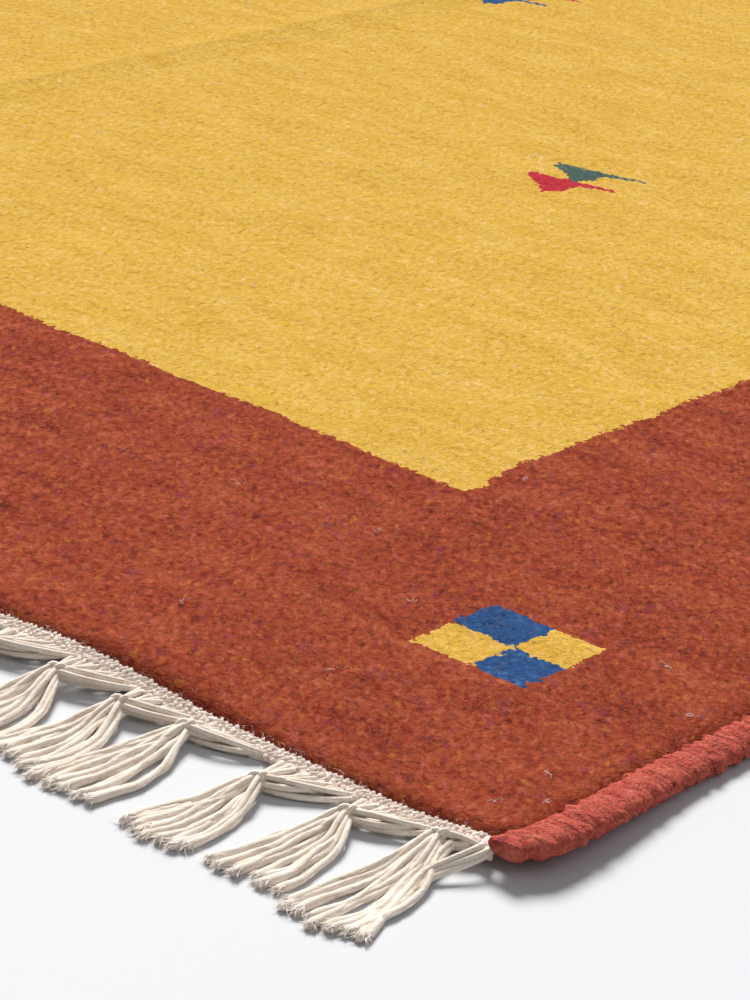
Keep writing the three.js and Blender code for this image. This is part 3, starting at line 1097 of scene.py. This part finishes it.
# Loose wool fibres on the cloth, thicker on the ground near the lifted corner
def make_fuzz(material):
    rng = np.random.default_rng(61)
    near = 7400
    spare = 5200
    x = np.abs(rng.normal(0, 0.17, near))
    x = np.concatenate([HALF_CLOTH - x, rng.uniform(-1, 1, spare) * HALF_CLOTH])
    y = np.abs(rng.normal(0, 0.22, near))
    y = np.concatenate([y - 1.0, rng.uniform(-1, 1, spare)])
    keep = (np.abs(x) < HALF_CLOTH - 0.003) & (np.abs(y) < 0.997)
    x = x[keep]
    y = y[keep]
    count = len(x)
    way = rng.uniform(0, 2 * np.pi, count)
    length = rng.gamma(4.0, 0.0012, count) + 0.001
    curl = rng.normal(0, 1.6, count)
    at_x, at_y, share = curled(x, y, way, curl, length)
    at_x = np.clip(at_x, -HALF_CLOTH, HALF_CLOTH)
    at_y = np.clip(at_y, -RUG_LENGTH / 2, RUG_LENGTH / 2)
    rise = rng.gamma(2.0, 0.00035, count)[:, None]
    rise = rise * np.sin(np.pi * share * rng.uniform(0.5, 1.0, (count, 1)))
    at_z = CLOTH_TOP + lift(at_x, at_y) + 0.00025 + rise
    paths = np.stack([at_x, at_y, at_z], axis=-1)
    side = np.stack([-np.sin(way), np.cos(way), np.full(count, 0.4)], axis=-1)
    piece = ribbons_along("wool_fuzz", paths, rng.uniform(0.00009, 0.00018, count), unit_length(side))
    return finish_piece(piece, material)


# White lint on the cloth: the flecks by the near corner, from that corner in mm, then seeded ones
LINT_SEEN = ((-200, 52), (-152, 126), (-133, 60), (-201, 167), (-20, 33), (-33, 21), (-34, 53), (-31, 131),
             (-199, 258), (-59, 158))


def make_lint(material):
    rng = np.random.default_rng(71)
    seen = np.array(LINT_SEEN) * MM + np.array((RUG_WIDTH / 2, -RUG_LENGTH / 2))
    strewn = rng.uniform(-1, 1, (80, 2)) * np.array((HALF_CLOTH - 0.01, 0.98))
    at = np.repeat(np.concatenate([seen, strewn]), 4, axis=0)
    at = at + rng.normal(0, 0.0008, at.shape)
    count = len(at)
    stops = 8
    share = np.linspace(0, 1, stops)
    way = rng.uniform(0, 2 * np.pi, count)
    bend = way[:, None] + rng.normal(0, 3.0, (count, 1)) * share
    bend = bend + rng.normal(0, 2, (count, 1)) * share ** 2
    step = rng.uniform(0.0016, 0.0052, count)[:, None] / stops
    x = at[:, :1] + np.cumsum(np.cos(bend) * step, axis=1)
    y = at[:, 1:] + np.cumsum(np.sin(bend) * step, axis=1)
    z = CLOTH_TOP + lift(x, y) + 0.0005 + 0.0006 * np.sin(np.pi * share)
    girth = rng.uniform(0.00007, 0.00017, (count, 1)) * (1 - 0.6 * share)
    piece = cords_along("lint", np.stack([x, y, z], axis=-1), girth, 3)
    return finish_piece(piece, material)


def make_binding_fuzz(side, material):
    rng = np.random.default_rng(81 + side)
    near = 5200 if side > 0 else 500
    y = np.concatenate([rng.uniform(-1, -0.82, near), rng.uniform(-1, 1, 2200)]) * 0.998
    count = len(y)
    turn = rng.uniform(0.1, np.pi - 0.1, count)
    middle, half, base = binding_line(side, y)
    out = np.stack([np.cos(turn), np.zeros(count), np.sin(turn)], axis=-1)
    start_x = middle + np.cos(turn) * (half - 0.0007)
    start = np.stack([start_x, y, base + 0.0037 + np.sin(turn) * 0.0030], axis=-1)
    drift = rng.normal(0, 1, (count, 3)) * np.array((0.8, 1.0, 0.5))
    way = unit_length(out * rng.uniform(0.05, 0.8, count)[:, None] + drift)
    length = rng.gamma(3.0, 0.0006, count) + 0.0006
    share = np.linspace(0, 1, 4)[None, :, None]
    paths = start[:, None] + way[:, None] * length[:, None, None] * share
    paths = paths + out[:, None] * 0.0004
    paths[..., 2] = np.maximum(paths[..., 2] - 0.0012 * share[..., 0] ** 2, 0.0002)
    width = rng.uniform(0.00009, 0.00020, count)
    across = unit_length(np.cross(way, out) + 1e-5)
    piece = ribbons_along(at_side("binding_fuzz", side), paths, width, across)
    return finish_piece(piece, material)


def make_floor(material):
    shape = bmesh.new()
    bmesh.ops.create_grid(shape, x_segments=4, y_segments=4, size=7)
    floor = new_piece("floor", shape)
    floor.data.materials.append(material)


add_camera()
add_studio()
make_floor(make_plain("pale_floor", (0.640, 0.650, 0.680), 0.6))

wool = make_wool_group(make_weave_group(), make_design_group())
cotton = make_cotton("twined_cotton", (0.75, 0.60, 0.52), (0.87, 0.735, 0.655), (0.91, 0.805, 0.735))
cord_cotton = make_cotton("cotton_cord", (0.72, 0.58, 0.45), (0.85, 0.75, 0.65), (0.90, 0.82, 0.74))
fray_cotton = make_cotton("frayed_cotton", (0.66, 0.59, 0.53), (0.77, 0.70, 0.64), (0.85, 0.79, 0.73))
binding_wool = make_binding_wool()
fibre_wool = make_fibre_wool(wool)
binding_fibre = make_plain("loose_binding_fibre", (0.56, 0.15, 0.11), 0.9)

cloth = make_cloth(make_cloth_wool(wool))
trims = []
for side in (1, -1):
    trims += [make_binding(side, binding_wool), make_binding_fuzz(side, binding_fibre)]
for end in (-1, 1):
    trims += [make_band(end, cotton), make_swags(end, cord_cotton), make_knots(end, cord_cotton)]
    trims.append(make_fluff(end, fray_cotton))
    for side in (1, -1):
        trims += make_corner_cords(end, side, cord_cotton, fray_cotton)
for name, end, span, stops, sides, seed in (("twining_near_corner", -1, (SEEN_FROM, BAND_HALF), 7, 5, 30),
                                            ("twining_near", -1, (-BAND_HALF, SEEN_FROM), 4, 4, 31),
                                            ("twining_far", 1, (-BAND_HALF, BAND_HALF), 4, 4, 32)):
    trims.append(make_twining(name, end, span, stops, sides, seed, cotton))
for name, end, chosen, seed, grade in (("tassels_near_corner", -1, range(8), 101, FINE_CORDS),
                                       ("tassels_near", -1, range(8, TASSELS), 111, PLAIN_CORDS),
                                       ("tassels_far", 1, range(TASSELS), 121, PLAIN_CORDS)):
    trims += make_tassels(name, end, list(chosen), seed, cord_cotton, fray_cotton, **grade)
trims.append(make_fuzz(fibre_wool))
trims.append(make_lint(make_plain("white_lint", (0.88, 0.80, 0.76), 0.8)))
